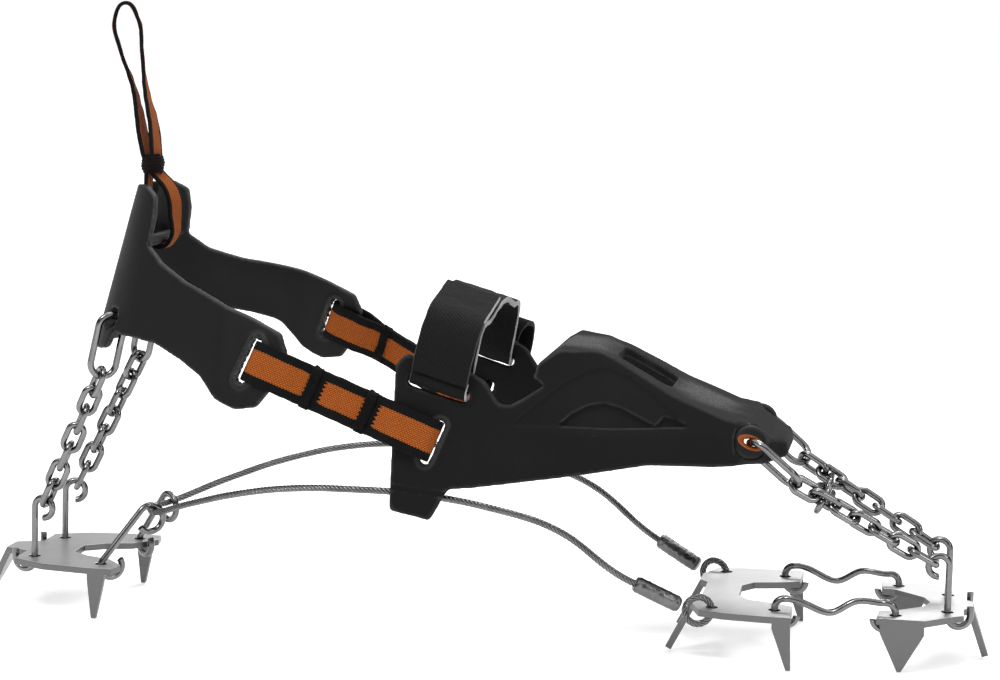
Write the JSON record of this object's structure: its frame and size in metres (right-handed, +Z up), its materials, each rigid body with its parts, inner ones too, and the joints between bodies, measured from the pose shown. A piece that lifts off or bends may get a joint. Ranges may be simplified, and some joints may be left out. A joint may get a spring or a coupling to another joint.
{
  "type": "strap-on boot crampon",
  "caption": "Flexible boot crampon: moulded toe harness and heel cup with straps, chains and a cable carrying three spiked steel plates under the sole.",
  "frame": {"origin": "middle of the overall length and width, on the plane the spike tips stand on", "axes": "+X from heel to toe, +Y to the far side of the pictured boot, +Z up"},
  "size_m": [0.3196, 0.1044, 0.1914],
  "materials": {
    "harness_tpe": "matt moulded elastomer, edges a little lighter",
    "orange_webbing": "coarse woven nylon",
    "black_webbing": "fine twill weave",
    "black_stitching": "dense bar stitching",
    "orange_plastic": "satin",
    "plate_steel": "bead blasted stainless steel",
    "chain_steel": "bright welded wire",
    "wire_steel": "bright bent wire",
    "cable_steel": "twisted strands",
    "ferrule_steel": "dark mottled crimp"
  },
  "bodies": {
    "harness": {"heel_cup": "harness_tpe", "toe_harness": "harness_tpe", "instep_strap": "black_webbing", "loop_anchor": "orange_webbing", "cross_chain": "chain_steel", "cable": "cable_steel", "grommet_near": "orange_plastic", "grommet_far": "orange_plastic", "side_strap_near": "orange_webbing", "side_strap_far": "orange_webbing", "strap_bars_near": "black_stitching", "strap_bars_far": "black_stitching", "heel_long_link_near": "chain_steel", "heel_long_link_far": "chain_steel", "toe_long_link_near": "chain_steel", "toe_long_link_far": "chain_steel", "heel_chain_near": "chain_steel", "heel_chain_far": "chain_steel", "toe_chain_near": "chain_steel", "toe_chain_far": "chain_steel", "heel_hook_near": "wire_steel", "heel_hook_far": "wire_steel", "toe_hook_near": "wire_steel", "toe_hook_far": "wire_steel", "cable_eye_near": "cable_steel", "cable_eye_far": "cable_steel", "ferrule_near": "ferrule_steel", "ferrule_far": "ferrule_steel"},
    "forefoot": {"forefoot_plate": "plate_steel"},
    "toe": {"toe_plate": "plate_steel"},
    "heel": {"heel_plate": "plate_steel"},
    "connector_near": {"connector_near": "wire_steel"},
    "connector_far": {"connector_far": "wire_steel"},
    "ring_hook_near": {"ring_hook_near": "wire_steel"},
    "ring_hook_far": {"ring_hook_far": "wire_steel"},
    "pull_loop": {"pull_loop": "orange_webbing", "loop_keeper": "black_stitching"},
    "strap_tail": {"instep_tail": "black_webbing"}
  },
  "joints": [
    {"name": "forefoot_tilt", "type": "hinge", "parent": "harness", "child": "forefoot", "pos_m": [0.077, 0, 0.015], "axis": [0, -1, 0], "range_deg": [0, 8]},
    {"name": "connector_near_turn", "type": "hinge", "parent": "forefoot", "child": "connector_near", "pos_m": [0.0957, -0.0244, 0.015], "axis": [0, -1, 0], "range_deg": [-8, 0]},
    {"name": "connector_far_turn", "type": "hinge", "parent": "forefoot", "child": "connector_far", "pos_m": [0.0957, 0.0244, 0.015], "axis": [0, -1, 0], "range_deg": [-8, 0]},
    {"name": "toe_tilt", "type": "hinge", "parent": "harness", "child": "toe", "pos_m": [0.1468, 0, 0.015], "axis": [0, -1, 0], "range_deg": [-9.8, 0]},
    {"name": "heel_tilt", "type": "hinge", "parent": "harness", "child": "heel", "pos_m": [-0.139, 0, 0.015], "axis": [0, -1, 0], "range_deg": [0, 4]},
    {"name": "ring_hook_near_turn", "type": "hinge", "parent": "heel", "child": "ring_hook_near", "pos_m": [-0.1155, -0.0204, 0.015], "axis": [0.6234, -0.7819, 0], "range_deg": [-9, 0]},
    {"name": "ring_hook_far_turn", "type": "hinge", "parent": "heel", "child": "ring_hook_far", "pos_m": [-0.1155, 0.0204, 0.015], "axis": [-0.6234, -0.7819, 0], "range_deg": [-9, 0]},
    {"name": "pull_loop_swing", "type": "hinge", "parent": "harness", "child": "pull_loop", "pos_m": [-0.1062, 0, 0.1406], "axis": [0, 1, 0], "range_deg": [-50, 50]},
    {"name": "strap_tail_lift", "type": "hinge", "parent": "harness", "child": "strap_tail", "pos_m": [-0.00428, -0.0446, 0.0829], "axis": [0.9613, 0, -0.2756], "range_deg": [0, 50]}
  ],
  "couplings": [
    {"joint": "connector_near_turn", "follows": "forefoot_tilt", "ratio": -1},
    {"joint": "connector_far_turn", "follows": "forefoot_tilt", "ratio": -1},
    {"joint": "toe_tilt", "follows": "forefoot_tilt", "ratio": -1.2222},
    {"joint": "ring_hook_near_turn", "follows": "heel_tilt", "ratio": -2.21},
    {"joint": "ring_hook_far_turn", "follows": "heel_tilt", "ratio": -2.21}
  ]
}
